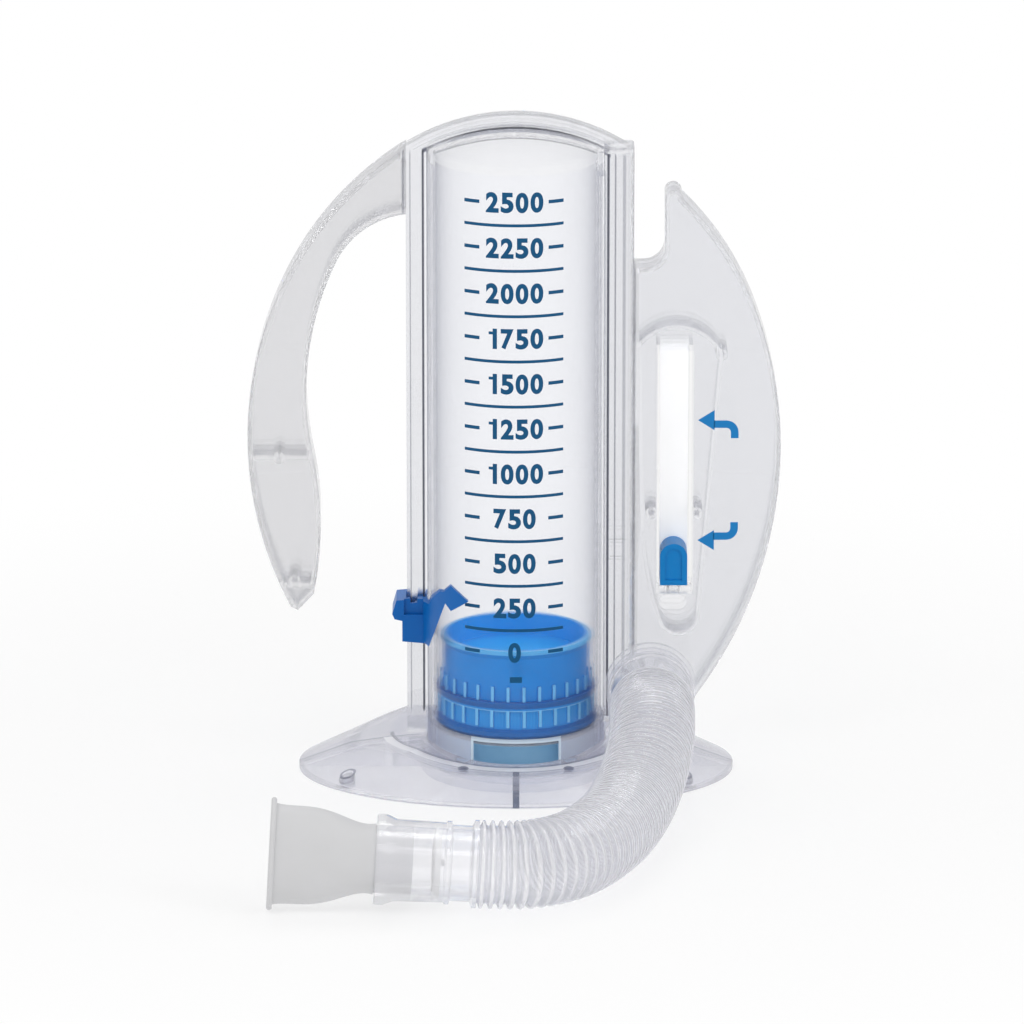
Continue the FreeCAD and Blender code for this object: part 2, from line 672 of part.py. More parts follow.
def make_barrel_floor():
    """An inverted cup that closes the barrel below the piston and lets air in through holes."""
    outer_r = BORE_R - FLOOR_FIT
    inner_r = outer_r - FLOOR_WALL
    cup = turned([(0, FLOOR_TOP - FLOOR_T), (inner_r, FLOOR_TOP - FLOOR_T), (inner_r, LEDGE_TOP),
                  (outer_r, LEDGE_TOP), (outer_r, FLOOR_TOP), (0, FLOOR_TOP)])
    hole = upright(AIR_HOLE_R, LEDGE_TOP, FLOOR_TOP + 1, AIR_HOLE_RING)
    low = INLET_Z - INLET_H / 2
    window = block((-INLET_W / 2, INLET_W / 2), (-BARREL_R, 0), (low, FLOOR_TOP - FLOOR_T))
    return cup.cut(ring_of(hole, AIR_HOLES) + [window])


def make_inlet_filter():
    top = FLOOR_TOP - FLOOR_T - FLOOR_FIT
    return upright(BORE_R - FLOOR_WALL - 3 * FLOOR_FIT, top - FILTER_T, top)


def make_piston_seal():
    outer_r = BORE_R - SEAL_GAP
    inner_r = outer_r - SEAL_W
    return turned([(inner_r, SEAL_FOOT), (outer_r - SEAL_H / 3, SEAL_FOOT), (outer_r, SEAL_FOOT + SEAL_H / 3),
                   (outer_r, SKIRT_FOOT - SEAL_H / 4), (SKIRT_R, SKIRT_FOOT), (inner_r, SKIRT_FOOT)])


def ribs_round(radius, foot, height):
    rib = block((radius - RIB_OUT, radius + RIB_OUT), (-RIB_W / 2, RIB_W / 2), (foot, foot + height))
    return ring_of(rib, PISTON_RIBS)


def make_piston_skirt():
    inner_r = SKIRT_R - SKIRT_WALL
    collar = CUP_FOOT - SKIRT_FLANGE_H - SKIRT_COLLAR_H
    flange = CUP_FOOT - SKIRT_FLANGE_H
    tube = turned([(inner_r, SKIRT_FOOT), (SKIRT_R, SKIRT_FOOT), (SKIRT_R, collar),
                   (SKIRT_R + RIB_OUT, collar), (SKIRT_R + RIB_OUT, flange), (SKIRT_R + 1.5 * RIB_OUT, flange),
                   (SKIRT_R + 1.5 * RIB_OUT, CUP_FOOT), (inner_r - RIB_OUT, CUP_FOOT),
                   (inner_r - RIB_OUT, flange), (inner_r, flange)])
    return tube.fuse(ribs_round(SKIRT_R, SKIRT_FOOT + RIB_OUT, collar - SKIRT_FOOT - RIB_OUT))


def make_piston_cup():
    top = CUP_FOOT + CUP_H
    inner_r = CUP_R - CUP_WALL
    floor_top = top - CUP_RECESS
    rim_r = CUP_R + CUP_RIM_OUT
    cup = turned([(0, floor_top - CUP_WALL), (inner_r, floor_top - CUP_WALL), (inner_r, CUP_FOOT),
                  (CUP_R, CUP_FOOT), (CUP_R, top - 2 * CUP_RIM_H), (rim_r, top - CUP_RIM_H),
                  (rim_r, top - CUP_RIM_H / 3), (CUP_R, top), (inner_r, top), (inner_r, floor_top),
                  (0, floor_top)])
    return cup.fuse(ribs_round(CUP_R, CUP_FOOT, RIB_H))


def make_hose_port():
    """A collar on the wing's face with the spigot that the hose's cuff pushes over."""
    length = COLLAR_T + SPIGOT_LENGTH
    bore = SPIGOT_R - SPIGOT_WALL
    solid = turned([(bore, 0), (COLLAR_R, 0), (COLLAR_R, 0.7 * COLLAR_T), (COLLAR_R - 0.3 * COLLAR_T, COLLAR_T),
                    (SPIGOT_R, COLLAR_T), (SPIGOT_R, length - 1), (SPIGOT_R - 0.5, length), (bore, length)])
    return along(solid, vec(PORT_X, PORT_FACE, PORT_Z), vec(0, -1, 0))


def make_hose_cuff_port():
    bore = SPIGOT_R + CUFF_FIT
    bead = CUFF_R + 0.5
    solid = turned([(bore, 0), (bead, 0), (bead, 2.2), (CUFF_R, 3.0), (CUFF_R, 7.0), (bead, 7.4), (bead, 8.8),
                    (CUFF_R, 9.2), (CUFF_R, CUFF_LENGTH), (bore, CUFF_LENGTH)])
    return along(solid, vec(PORT_X, CUFF_START, PORT_Z), vec(0, -1, 0))


def route_wire(route):
    """Straight runs joined by tangent arcs, each arc as large as its two runs allow."""
    points = [vec(*point) for point in route]
    edges = []
    radii = []
    start = points[0]
    for before, corner, after in zip(points, points[1:], points[2:]):
        ahead = (corner - before).normalize()
        leaving = (after - corner).normalize()
        half_turn = ahead.getAngle(leaving) / 2
        setback = 0.45 * min((corner - before).Length, (after - corner).Length)
        radius = setback / math.tan(half_turn)
        inward = (leaving - ahead).normalize()
        middle = corner + inward * (radius / math.cos(half_turn) - radius)
        arc_start = corner - ahead * setback
        arc_end = corner + leaving * setback
        edges.append(Part.LineSegment(start, arc_start).toShape())
        edges.append(Part.Arc(arc_start, middle, arc_end).toShape())
        radii.append(round(radius, 1))
        start = arc_end
    edges.append(Part.LineSegment(start, points[-1]).toShape())
    print("hose bend radii", radii)
    return Part.Wire(edges)


def make_hose_tube():
    path = route_wire(HOSE_ROUTE)
    start = vec(*HOSE_ROUTE[0])
    ahead = vec(*HOSE_ROUTE[1]) - start
    tubes = []
    for radius in (HOSE_R, HOSE_R - HOSE_WALL):
        circle = Part.Wire(Part.makeCircle(radius, start, ahead))
        tubes.append(path.makePipeShell([circle], True, False))
    tube = tubes[0].cut(tubes[1])
    expected = math.pi * (HOSE_R ** 2 - (HOSE_R - HOSE_WALL) ** 2) * path.Length
    print("hose length", round(path.Length, 1), "volume", round(tube.Volume), "expected", round(expected))
    return tube


def on_mouth_axis(solid):
    start = vec(*HOSE_ROUTE[-1])
    return along(solid, start, vec(*MOUTH_END) - start)


def make_hose_cuff_mouth():
    """The hose's end fitting: a flared end at the hose, a neck, a bead and a rimmed socket."""
    end = MOUTH_CUFF_LENGTH
    bead = MOUTH_CUFF_R + 0.4
    profile = [
        (MOUTH_CUFF_BORE_R, 0), (HOSE_R - 0.2, 0), (HOSE_R - 0.2, 1.4), (MOUTH_CUFF_NECK_R, 2.2),
        (MOUTH_CUFF_NECK_R, 8.4), (bead, 8.8), (bead, 10.2), (MOUTH_CUFF_R - 0.2, 10.6),
        (MOUTH_CUFF_R + 0.2, end - 6.4), (MOUTH_CUFF_RIM_R, end - 3.0), (MOUTH_CUFF_RIM_R, end - 0.4),
        (MOUTH_CUFF_RIM_R - 0.4, end), (MOUTH_CUFF_BORE_R, end),
    ]
    return on_mouth_axis(turned(profile))


def make_valve_seat():
    """A ring with a hub on four spokes, fixed in the cuff."""
    outer_r = MOUTH_CUFF_BORE_R - CUFF_FIT / 2
    z_low, z_high = VALVE_AT, VALVE_AT + VALVE_SEAT_T
    ring = upright(outer_r, z_low, z_high).cut(upright(outer_r - VALVE_SPOKE_W, z_low, z_high))
    spoke = block((0, outer_r - VALVE_SPOKE_W / 2), (-VALVE_SPOKE_W / 2, VALVE_SPOKE_W / 2), (z_low, z_high))
    hub = upright(VALVE_HUB_R, z_low, z_high)
    seat = ring.fuse([hub] + ring_of(spoke, 4)).cut(upright(STEM_R + VALVE_GAP, z_low, z_high))
    return on_mouth_axis(seat)


def make_valve_flap():
    """A thin soft disc held by a stem through the hub."""
    disc = VALVE_AT + VALVE_SEAT_T + VALVE_GAP
    bulb = VALVE_AT - VALVE_GAP
    bulb_r = STEM_R + 4 * VALVE_GAP
    return on_mouth_axis(turned([
        (0, bulb - 1.2), (bulb_r - 0.4, bulb - 1.2), (bulb_r, bulb), (STEM_R, bulb), (STEM_R, disc),
        (FLAP_R, disc), (FLAP_R, disc + FLAP_T), (0, disc + FLAP_T)]))


def oval_loft(sections, inset, ruled=False):
    """A solid loft through (height, half width, half depth) ovals, each drawn in by an inset."""
    wires = [Part.Wire(Part.Ellipse(vec(0, 0, height), wide - inset, deep - inset).toShape())
             for height, wide, deep in sections]
    return Part.makeLoft(wires, True, ruled)


def make_mouthpiece():
    """A round shank in the cuff that flares to a flat oval lip with a bevelled rim."""
    shank_r = MOUTH_CUFF_BORE_R - CUFF_FIT
    root = MOUTH_CUFF_LENGTH + SHOULDER_GAP
    end = MOUTH_CUFF_LENGTH + MOUTHPIECE_LENGTH
    low = MOUTH_CUFF_LENGTH - SHANK_DEPTH
    flare = [
        (root, shank_r + 2 * SHOULDER_OUT, shank_r + SHOULDER_OUT),
        (root + 0.17 * MOUTHPIECE_LENGTH, shank_r + 3 * SHOULDER_OUT, shank_r),
        (root + 0.36 * MOUTHPIECE_LENGTH, 0.58 * shank_r + 0.42 * LIP_HALF_WIDTH, shank_r - SHOULDER_OUT),
        (root + 0.70 * MOUTHPIECE_LENGTH, LIP_HALF_WIDTH - 3 * LIP_OUT, LIP_HALF_DEPTH - 1.8 * LIP_OUT),
        (end, LIP_HALF_WIDTH - 1.6 * LIP_OUT, LIP_HALF_DEPTH - LIP_OUT),
    ]
    rim = oval_loft([(end - LIP_RIM_T + rise, LIP_HALF_WIDTH - drawn, LIP_HALF_DEPTH - drawn)
                     for rise, drawn in ((0, LIP_BEVEL), (LIP_BEVEL, 0), (LIP_RIM_T - LIP_BEVEL, 0),
                                         (LIP_RIM_T, LIP_BEVEL))], 0, True)
    solid = oval_loft(flare, 0).fuse([upright(shank_r, low, root + 1), rim])
    bore = oval_loft(flare, MOUTHPIECE_WALL).fuse(upright(shank_r - MOUTHPIECE_WALL, low, root + 1))
    return on_mouth_axis(solid.cut(bore))


def polygon(points):
    """A closed outline of straight sides, its heights measured from the slider's middle."""
    corners = [vec(x, 0, SLIDER_Z + z) for x, z in points]
    return Part.makePolygon(corners + corners[:1])


def make_goal_slider():
    """A clip that embraces the left rail's lip, with a pointer that hugs the barrel."""
    ring_r = BARREL_R + SLIDER_FIT
    rail = -RAIL_LEFT
    body = slab(polygon((
        (rail - 1.6, -7.0), (rail + 7.4, -7.8), (rail + 7.4, 7.6), (rail + 3.6, 7.6), (rail + 3.4, 6.2),
        (rail + 1.2, 6.0), (rail + 1.0, 7.8), (rail - 3.6, 7.4), (rail - 5.0, 2.6), (rail - 4.2, 0.8),
        (rail - 1.6, 0.2))), -SLIDER_DEPTH, SLIDER_DEPTH)
    tall = (SLIDER_Z - 20, SLIDER_Z + 20)
    lip_slot = block((rail - SLIDER_FIT, rail + LIP_W + SLIDER_FIT),
                     (-LIP_T - SLIDER_FIT, LIP_T + SLIDER_FIT), tall)
    flange_slot = block((rail, 0), (-FLANGE_T - SLIDER_FIT, FLANGE_T + SLIDER_FIT), tall)
    step = block((rail - 1, 0), (-SLIDER_DEPTH, -SLIDER_DEPTH + SLIDER_STEP), (SLIDER_Z + 2.4, SLIDER_Z + 20))
    pointer = slab(polygon((
        (rail + 5.5, -6.9), (rail + 7.5, -6.9), (rail + 9.0, -2.1), (rail + 11.6, 6.1), (rail + 13.1, 10.6),
        (rail + 15.0, 8.5), (rail + 20.9, 13.0), (rail + 15.0, 17.3), (rail + 12.6, 14.5), (rail + 11.2, 14.3),
        (rail + 8.5, 10.7), (rail + 7.5, 8.0), (rail + 5.5, 7.5))), -BARREL_R - 5, -SLIDER_DEPTH / 2)
    sleeve = upright(ring_r + POINTER_T, tall[0], tall[1]).cut(upright(ring_r, tall[0], tall[1]))
    solid = body.cut([lip_slot, flange_slot, step, upright(ring_r, tall[0], tall[1])])
    return solid.fuse(pointer.common(sleeve)).removeSplitter()


MAKERS = {
    "front_shell": make_front_shell,
    "rear_shell": make_rear_shell,
    "handle_front": make_handle_front,
    "handle_rear": make_handle_rear,
    "wing_front": make_wing_front,
    "wing_rear": make_wing_rear,
    "indicator_strip": make_indicator_strip,
    "base_foot": make_base_foot,
    "barrel_floor": make_barrel_floor,
    "inlet_filter": make_inlet_filter,
    "piston_seal": make_piston_seal,
    "piston_skirt": make_piston_skirt,
    "piston_cup": make_piston_cup,
    "flow_float": make_flow_float,
    "goal_slider": make_goal_slider,
    "hose_port": make_hose_port,
    "hose_cuff_port": make_hose_cuff_port,
    "hose_tube": make_hose_tube,
    "hose_cuff_mouth": make_hose_cuff_mouth,
    "valve_seat": make_valve_seat,
    "valve_flap": make_valve_flap,
    "mouthpiece": make_mouthpiece,
}

os.makedirs("parts", exist_ok=True)
for name, make in MAKERS.items():
    shape = make()
    shape.exportStep("parts/" + name + ".step")
    print(name, "solids", len(shape.Solids), "volume", round(shape.Volume), "valid", shape.isValid())
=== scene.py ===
# %% [markdown]
# A hand-held breathing exerciser: a clear barrel with a blue piston, a hooked handle, a wing with
# a small float, a domed base and a corrugated hose with a mouthpiece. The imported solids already
# have the real shapes, so most of the work here is in finishes: clear plastic, printed ink, blue
# and frosted plastics. Only the hose and the printing are made as new pieces.

# %% Load the solids
import bpy
import bmesh
import math
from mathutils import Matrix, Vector


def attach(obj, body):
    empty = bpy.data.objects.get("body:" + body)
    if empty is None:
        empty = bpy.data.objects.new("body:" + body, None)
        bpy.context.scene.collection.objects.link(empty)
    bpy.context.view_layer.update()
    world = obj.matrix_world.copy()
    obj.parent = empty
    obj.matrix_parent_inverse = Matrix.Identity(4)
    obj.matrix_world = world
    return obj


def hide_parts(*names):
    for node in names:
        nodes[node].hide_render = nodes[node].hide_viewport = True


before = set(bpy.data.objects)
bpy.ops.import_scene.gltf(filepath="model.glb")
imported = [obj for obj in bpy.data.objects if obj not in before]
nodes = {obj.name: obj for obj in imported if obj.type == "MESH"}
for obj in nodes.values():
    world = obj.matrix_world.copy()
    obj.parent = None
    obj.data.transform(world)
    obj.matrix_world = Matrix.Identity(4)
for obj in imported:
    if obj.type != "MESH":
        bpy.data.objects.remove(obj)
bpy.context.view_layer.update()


def mm(*sizes):
    """Millimetres, as the drawing has them, in the scene's metres."""
    return Vector([size / 1000 for size in sizes])


# %% [markdown]
# The camera is long and stands far back, a little above the barrel, as a catalogue photographer
# would set it up, so upright edges stay upright and the base shows as a flat oval.

# %% Camera
camera_data = bpy.data.cameras.new("camera")
camera_data.sensor_width = 36
camera_data.lens = 290.4
camera_data.clip_end = 20
camera = bpy.data.objects.new("camera", camera_data)
camera.location = (-0.00136, -2.7024, 0.8224)
camera.rotation_euler = (math.radians(74.83), 0, 0)
scene = bpy.context.scene
scene.collection.objects.link(camera)
scene.camera = camera
scene.view_settings.view_transform = "Standard"

# %% [markdown]
# The hose is the one free piece. Its route runs straight out of the port, droops to the table,
# and bends round to the left. A NURBS spline of order 3 makes one smooth line of the route's
# points. The order is set after the points, since a new spline has too few for it.

# %% Route of the hose
HOSE_ROUTE = (
    (45.7, -33.9, 31.0),
    (45.7, -44.5, 31.0),
    (45.5, -57.0, 28.4),
    (44.0, -70.0, 23.7),
    (41.2, -84.0, 18.9),
    (37.4, -99.0, 15.6),
    (32.6, -117.0, 14.6),
    (25.9, -134.7, 14.6),
    (18.5, -147.8, 14.5),
    (9.8, -155.3, 14.5),
    (-1.0, -159.298, 14.496),
    (-12.5, -159.4, 15.15),
)
line = bpy.data.curves.new("hose_line", "CURVE")
line.dimensions = "3D"
line.resolution_u = 24
spline = line.splines.new("NURBS")
spline.points.add(len(HOSE_ROUTE) - 1)
for point, place in zip(spline.points, HOSE_ROUTE):
    point.co = (*mm(*place), 1)
spline.order_u = 3
spline.use_endpoint_u = True
line_object = bpy.data.objects.new("hose_line", line)
scene.collection.objects.link(line_object)
line_mesh = bpy.data.meshes.new_from_object(line_object)
hose_path = [vertex.co.copy() for vertex in line_mesh.vertices]
bpy.data.objects.remove(line_object)
hose_length = sum((b - a).length for a, b in zip(hose_path, hose_path[1:]))
print("hose line:", len(hose_path), "points,", round(hose_length * 1000, 1), "mm")

# %% [markdown]
# Shader maths reads best as Python. Value wraps a socket, so that 1 - mask adds a Math node, and
# Paint keeps one material's nodes together.

# %% Shader helpers


class Value:
    """A number or colour on its way through a shader."""

    def __init__(self, paint, socket):
        self.paint = paint
        self.socket = socket

    def maths(self, operation, first, second=0.0):
        return self.paint.node("ShaderNodeMath", {"operation": operation}, {0: first, 1: second})

    def __add__(self, other):
        return self.maths("ADD", self, other)

    def __sub__(self, other):
        return self.maths("SUBTRACT", self, other)

    def __rsub__(self, other):
        return self.maths("SUBTRACT", other, self)

    def __mul__(self, other):
        return self.maths("MULTIPLY", self, other)

    def __pow__(self, other):
        return self.maths("POWER", self, other)

    def __lt__(self, other):
        return self.maths("LESS_THAN", self, other)

    def __gt__(self, other):
        return self.maths("GREATER_THAN", self, other)

    def __abs__(self):
        return self.maths("ABSOLUTE", self)

    def inside(self, low, high):
        """1 between two limits, 0 outside them."""
        return (self > low) * (self < high)

    def either(self, other):
        return self.maths("MAXIMUM", self, other)

    __radd__ = __add__
    __rmul__ = __mul__


class Paint:
    """The nodes of one material, or of the world."""

    def __init__(self, owner, output="ShaderNodeOutputMaterial"):
        owner.use_nodes = True
        self.owner = owner
        self.output = output
        self.tree = owner.node_tree
        self.tree.nodes.clear()

    def node(self, kind, settings=None, inputs=None, output=0):
        made = self.tree.nodes.new(kind)
        for key, setting in (settings or {}).items():
            setattr(made, key, setting)
        for key, value in (inputs or {}).items():
            if isinstance(value, Value):
                self.tree.links.new(value.socket, made.inputs[key])
            else:
                made.inputs[key].default_value = value
        return Value(self, made.outputs[output])

    def blend(self, factor, first, second):
        """A mix of two colours."""
        return self.node("ShaderNodeMix", {"data_type": "RGBA"}, {0: factor, 6: first, 7: second}, 2)

    def mix(self, factor, first, second):
        """A mix of two shaders."""
        return self.node("ShaderNodeMixShader", inputs={0: factor, 1: first, 2: second})

    def place(self):
        """Object coordinates, so that a pattern stays on the piece."""
        return self.node("ShaderNodeTexCoord", output="Object")

    def along(self, axis):
        """The coordinate along one axis, in metres."""
        return self.node("ShaderNodeSeparateXYZ", inputs={0: self.place()}, output=axis)

    def from_axis(self):
        """The distance from the barrel's upright axis."""
        flat = self.node("ShaderNodeVectorMath", {"operation": "MULTIPLY"}, {0: self.place(), 1: (1, 1, 0)})
        return self.node("ShaderNodeVectorMath", {"operation": "LENGTH"}, {0: flat}, "Value")

    def noise(self, scale, detail=2.0, roughness=0.5):
        return self.node("ShaderNodeTexNoise", inputs={
            "Vector": self.place(), "Scale": scale, "Detail": detail, "Roughness": roughness})

    def bump(self, height, distance, strength=1.0):
        return self.node("ShaderNodeBump", inputs={
            "Height": height, "Distance": distance, "Strength": strength})

    def facing(self):
        """0 where the surface faces the eye, 1 at its silhouette."""
        return self.node("ShaderNodeLayerWeight", inputs={"Blend": 0.5}, output="Facing")

    def ray(self, kind):
        return self.node("ShaderNodeLightPath", output="Is " + kind + " Ray")

    def plastic(self, **inputs):
        """The Principled shader. Underscores in a name stand for spaces."""
        named = {key.replace("_", " "): value for key, value in inputs.items()}
        return self.node("ShaderNodeBsdfPrincipled", inputs=named)

    def finish(self, shader):
        out = self.tree.nodes.new(self.output)
        self.tree.links.new(shader.socket, out.inputs["Surface"])
        return self.owner


def new_paint(name):
    return Paint(bpy.data.materials.new(name))


def srgb(red, green, blue):
    """A colour read from a screen, 0 to 255, as the linear colour that shaders use."""
    def linear(level):
        level /= 255
        return level / 12.92 if level <= 0.04045 else ((level + 0.055) / 1.055) ** 2.4
    return (linear(red), linear(green), linear(blue), 1)


# %% [markdown]
# The studio: a pale floor that fades to pure white, a white world behind everything that the
# camera sees, mirrors or looks through, and soft lamps at a plain level.

# %% Floor
floor_mesh = bpy.data.meshes.new("floor")
floor_form = bmesh.new()
bmesh.ops.create_circle(floor_form, cap_ends=True, radius=6.0, segments=64)
floor_form.to_mesh(floor_mesh)
floor_form.free()
floor = bpy.data.objects.new("floor", floor_mesh)
floor.location.z = -0.0002
scene.collection.objects.link(floor)

paint = new_paint("studio_floor")
fade = paint.node("ShaderNodeMapRange", {"interpolation_type": "SMOOTHSTEP"}, {
    "Value": paint.from_axis(), "From Min": 0.15, "From Max": 0.40, "To Min": 0.62, "To Max": 1.0})
pale = paint.node("ShaderNodeBsdfDiffuse", inputs={"Color": (0.97, 0.97, 0.97, 1)})
white = paint.node("ShaderNodeEmission", inputs={"Color": (1, 1, 1, 1), "Strength": 1.0})
floor_mesh.materials.append(paint.finish(paint.mix(fade, pale, white)))

# %% World and lamps
world = bpy.data.worlds.new("studio")
scene.world = world
paint = Paint(world, "ShaderNodeOutputWorld")
behind = paint.node("ShaderNodeSeparateXYZ", inputs={
    0: paint.node("ShaderNodeTexCoord", output="Generated")}, output="Y")
backdrop = paint.node("ShaderNodeMapRange", inputs={
    "Value": behind, "From Min": -0.5, "From Max": 0.2, "To Min": 0.35, "To Max": 1.0})
scattered = paint.node("ShaderNodeLightPath", output="Diffuse Depth") > 0.5
plastic_ray = paint.ray("Glossy").either(paint.ray("Transmission")) * (1 - scattered)
strength = plastic_ray * backdrop + (1 - plastic_ray) * (paint.ray("Camera") * 0.38 + 0.62)
paint.finish(paint.node("ShaderNodeBackground", inputs={"Color": (1, 1, 1, 1), "Strength": strength}))


def softbox(name, place, wide, high, power):
    """A rectangular lamp aimed at the middle of the barrel."""
    lamp_data = bpy.data.lights.new(name, "AREA")
    lamp_data.shape = "RECTANGLE"
    lamp_data.size = wide
    lamp_data.size_y = high
    lamp_data.energy = power
    lamp = bpy.data.objects.new(name, lamp_data)
    lamp.location = place
    lamp.rotation_euler = (Vector((0, 0, 0.1)) - lamp.location).to_track_quat("-Z", "Y").to_euler()
    scene.collection.objects.link(lamp)


softbox("key", Vector((-0.5, -1.2, 1.5)), 1.5, 0.5, 9.0)
softbox("fill", Vector((1.3, -0.9, 0.8)), 0.5, 1.1, 4.0)
softbox("top", Vector((0.1, 0.6, 1.6)), 0.9, 0.9, 4.0)

# %% [markdown]
# Clear moulded plastic: light bends a little in it, and its edges look greyer than its faces,
# because there the eye looks along the wall. A full glass would turn every thin edge black, so
# Alpha lets part of each ray go straight on, more on a face than at an edge. A small diffuse
# share is the milky haze of moulded parts. A shadow ray meets a plain transparent shader, so
# that what is inside stays bright.

# %% Clear plastic


def clear_look(paint, face, edge, roughness, clearness, haze, bend=1.46, gloss=0.0, blur=0.04, line=0.0):
    """The plastic itself. What it calls line is a mask that makes it denser there."""
    return paint.plastic(
        Base_Color=paint.blend(paint.facing() ** 2.0, face, edge), Roughness=roughness, IOR=bend,
        Transmission_Weight=1.0 - haze, Coat_Weight=gloss, Coat_Roughness=blur,
        Alpha=(paint.facing() ** 2.0).either(line) * (0.9 - clearness) + clearness,
        Normal=paint.bump(paint.noise(60.0, 1.0), 0.0004, 0.12))


def lit_through(paint, shader, tint):
    """Lets lamps shine through a clear piece."""
    open_air = paint.node("ShaderNodeBsdfTransparent", inputs={"Color": tint})
    return paint.finish(paint.mix(paint.ray("Shadow"), shader, open_air))


def dress(material, *names):
    for name in names:
        mesh = nodes[name].data
        mesh.materials.clear()
        mesh.materials.append(material)


# %% [markdown]
# The barrel is a thin even tube, which hardly shifts what is behind it, while the flat frame, the
# handle and the wing have thick edges that do. One material has both looks, and the distance from
# the barrel's axis says which one a point takes. The frame's rails show as fine upright lines and its
# arch as a fine curve, all painted shade where the thick plastic bends the light, and the pane before
# the float's white strip is quite clear.

# %% Clear body
TUBE_REACH = 0.0306
# Places, half widths and strengths in mm of the painted shade lines at the rails' edges.
RAIL_SHADE_LINES = ((-37.9, 0.3, 0.7), (-35.6, 0.2, 0.45), (-31.3, 0.35, 0.9), (31.0, 0.35, 0.9),
              (33.4, 0.2, 0.6), (36.4, 0.5, 0.35), (39.8, 0.3, 0.7))
ARCH_R = 66.3
ARCH_CENTRE = 156.7
INLET_HALF = 14.4
INLET_LOW = 8.1
INLET_HIGH = 16.8
paint = new_paint("clear_body")
across = paint.along("X") * 1000
height = paint.along("Z") * 1000
in_roof = height > 213.0
near_seam = abs(paint.along("Y")) < 0.0065
rail_and_arch_shade = 0.0
for place, half, depth in RAIL_SHADE_LINES:
    rail_and_arch_shade = (abs(across - place) < half) * depth + rail_and_arch_shade
normal = paint.node("ShaderNodeNewGeometry", output="True Normal")
faces_reader = abs(paint.node("ShaderNodeSeparateXYZ", inputs={0: normal}, output="Y")) > 0.5
rail_and_arch_shade = rail_and_arch_shade * height.inside(20.0, 215.0) * faces_reader
arch = (across * across + (height - ARCH_CENTRE) * (height - ARCH_CENTRE)) ** 0.5
rail_and_arch_shade = rail_and_arch_shade.either((abs(arch - ARCH_R) < 0.4) * (abs(across) < 31.6) * (height > 214.0))
face = paint.blend(across < -38.5, srgb(218, 219, 224), srgb(211, 211, 214))
# The rails' edges and the arch get painted shade: a darker colour, and denser plastic there.
face = paint.blend(rail_and_arch_shade, face, srgb(104, 107, 122))
plates = clear_look(paint, face, srgb(116, 119, 133), 0.03, 0.42, 0.05, line=rail_and_arch_shade)
tube = clear_look(paint, srgb(240, 241, 245), srgb(112, 116, 134), 0.02, 0.50, 0.03, bend=1.04, gloss=0.25)
foot = clear_look(paint, srgb(232, 236, 248), srgb(150, 156, 178), 0.10, 0.52, 0.40, bend=1.04, gloss=0.25)
frame_line = (abs(across) < INLET_HALF + 0.8) * height.inside(INLET_LOW - 0.8, INLET_HIGH + 0.7)
frame_line = frame_line * (paint.along("Y") < 0.0)
bright = clear_look(paint, srgb(216, 232, 244), srgb(206, 222, 238), 0.10, 0.85, 0.8)
pane = paint.node("ShaderNodeBsdfTransparent", inputs={"Color": (0.97, 0.97, 0.97, 1)})
foot = paint.mix(frame_line, foot, bright)
tube = paint.mix(in_roof * 0.7, paint.mix(height < 17.6, tube, foot), pane)
in_tube = (paint.from_axis() < TUBE_REACH) * (1 - in_roof * near_seam)
in_pane = across.inside(47.8, 60.0) * height.inside(64.5, 148.0)
body = paint.mix(in_pane, paint.mix(in_tube, plates, tube), pane)
dress(lit_through(paint, body, (0.975, 0.975, 0.98, 1)),
      "front_shell", "rear_shell", "handle_front", "handle_rear", "wing_front", "wing_rear")

# %% [markdown]
# The base has the same plastic with a rougher skin, and its ribs and posts show through the top
# as darker strokes. Their places are measured from the barrel's axis. A dark line of painted shade
# runs along the crease of the front ridge, with a band of painted highlight just outside it.

# %% Clear base
RIB_HALF = 1.1
POST_PLACE = (57.0, 24.0, 0)
SNAP_PLACE = (17.8, 33.8, 0)
RIDGE_HALVES = (43.0, 41.8)
RIDGE_BACK = 8.0
paint = new_paint("clear_base")
spot = paint.node("ShaderNodeVectorMath", {"operation": "MULTIPLY"}, {0: paint.place(), 1: (1000, 1000, 0)})
quarter = paint.node("ShaderNodeVectorMath", {"operation": "ABSOLUTE"}, {0: spot})
across = paint.along("X") * 1000
deep = paint.along("Y") * 1000


def distance_to(place):
    return paint.node("ShaderNodeVectorMath", {"operation": "DISTANCE"}, {0: quarter, 1: place}, "Value")


ridge_x = across * (1 / RIDGE_HALVES[0])
ridge_y = (deep - RIDGE_BACK) * (1 / RIDGE_HALVES[1])
ridge = (ridge_x * ridge_x + ridge_y * ridge_y) ** 0.5
ribs = (abs(across) < RIB_HALF).either(abs(deep) < RIB_HALF * 0.5) * (paint.from_axis() > 0.0325)
rib_marks_and_crease_shade = ribs.either(distance_to(POST_PLACE).inside(1.9, 2.8))
# The crease of the front ridge gets a dark line of painted shade.
rib_marks_and_crease_shade = rib_marks_and_crease_shade.either(ridge.inside(0.972, 1.0) * (deep < 6.0) * 0.8)
